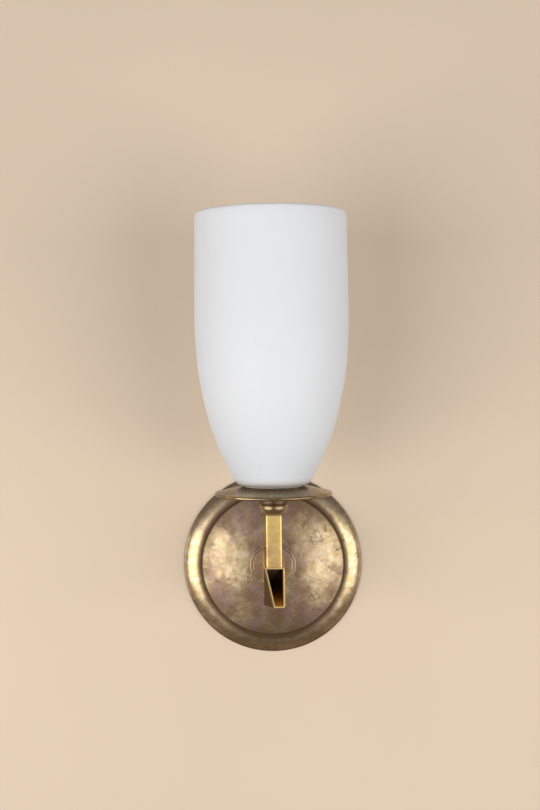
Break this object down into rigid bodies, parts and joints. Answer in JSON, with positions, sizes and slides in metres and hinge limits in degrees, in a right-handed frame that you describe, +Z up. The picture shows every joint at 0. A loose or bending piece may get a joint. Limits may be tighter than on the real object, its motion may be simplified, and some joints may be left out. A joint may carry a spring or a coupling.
{
  "type": "wall sconce",
  "caption": "Wall sconce: spun brass backplate, folded box arm with a square riser, domed saucer, small screw socket and an open bullet-shaped opal glass shade.",
  "frame": {"origin": "centre of the backplate on the wall, which is also the middle of the two box screw slots", "axes": "+Z up, -Y out of the wall towards the room, +X to the right of a person facing the sconce"},
  "size_m": [0.1142, 0.1389, 0.2705],
  "materials": {
    "plate_brass": "spun brass with cloudy brown patina",
    "arm_brass": "folded brass, satin, lightly aged",
    "saucer_brass": "turned and spun brass, dark brown patina",
    "zinc_steel": "zinc plated",
    "socket_moulding": "black moulded phenolic",
    "porcelain": "glazed white porcelain",
    "nickel": "nickelled brass sheet",
    "contact_brass": "bright stamped brass",
    "felt": "thin pale felt",
    "opal_glass": "opal white cased glass, satin, lets light through softly",
    "gasket_rubber": "black rubber",
    "lamp_insulator": "black glass",
    "solder": "tinned solder",
    "lamp_clear_glass": "clear lamp glass",
    "filament_wire": "drawn wire",
    "lead_black": "black lead insulation",
    "lead_brown": "dark brown lead insulation"
  },
  "bodies": {
    "root": {"backplate": "plate_brass", "boss": "plate_brass", "crossbar": "zinc_steel", "ground_screw": "zinc_steel", "hanger_nipple": "zinc_steel", "crossbar_locknut": "zinc_steel", "plate_washer": "zinc_steel", "plate_nut": "zinc_steel", "arm": "arm_brass", "riser": "arm_brass", "collar": "saucer_brass", "saucer": "saucer_brass", "cup_nipple": "zinc_steel", "tooth_washer": "zinc_steel", "saucer_nut": "zinc_steel", "socket_cap": "socket_moulding", "socket_sleeve": "socket_moulding", "socket_insert": "porcelain", "screw_shell": "nickel", "centre_contact": "contact_brass", "terminal_plates": "contact_brass", "terminal_screws": "contact_brass", "foot_gasket": "felt", "live_lead": "lead_black", "neutral_lead": "lead_brown"},
    "shade": {"shade": "opal_glass", "ring_gasket": "gasket_rubber"},
    "ring": {"screw_ring": "socket_moulding"},
    "lamp": {"lamp_base": "nickel", "lamp_button": "lamp_insulator", "lamp_tip": "solder", "lamp_glass": "lamp_clear_glass", "lamp_stem": "lamp_clear_glass", "lamp_filament": "filament_wire"}
  },
  "joints": [
    {"name": "shade_lift", "type": "slide", "parent": "root", "child": "shade", "axis": [0, 0, 1], "range_m": [0, 0.11]},
    {"name": "ring_turn", "type": "hinge", "parent": "shade", "child": "ring", "pos_m": [0, -0.0889, 0.065], "axis": [0, 0, 1], "continuous": true},
    {"name": "lamp_out", "type": "slide", "parent": "root", "child": "lamp", "axis": [0, 0, 1], "range_m": [0, 0.145]}
  ]
}
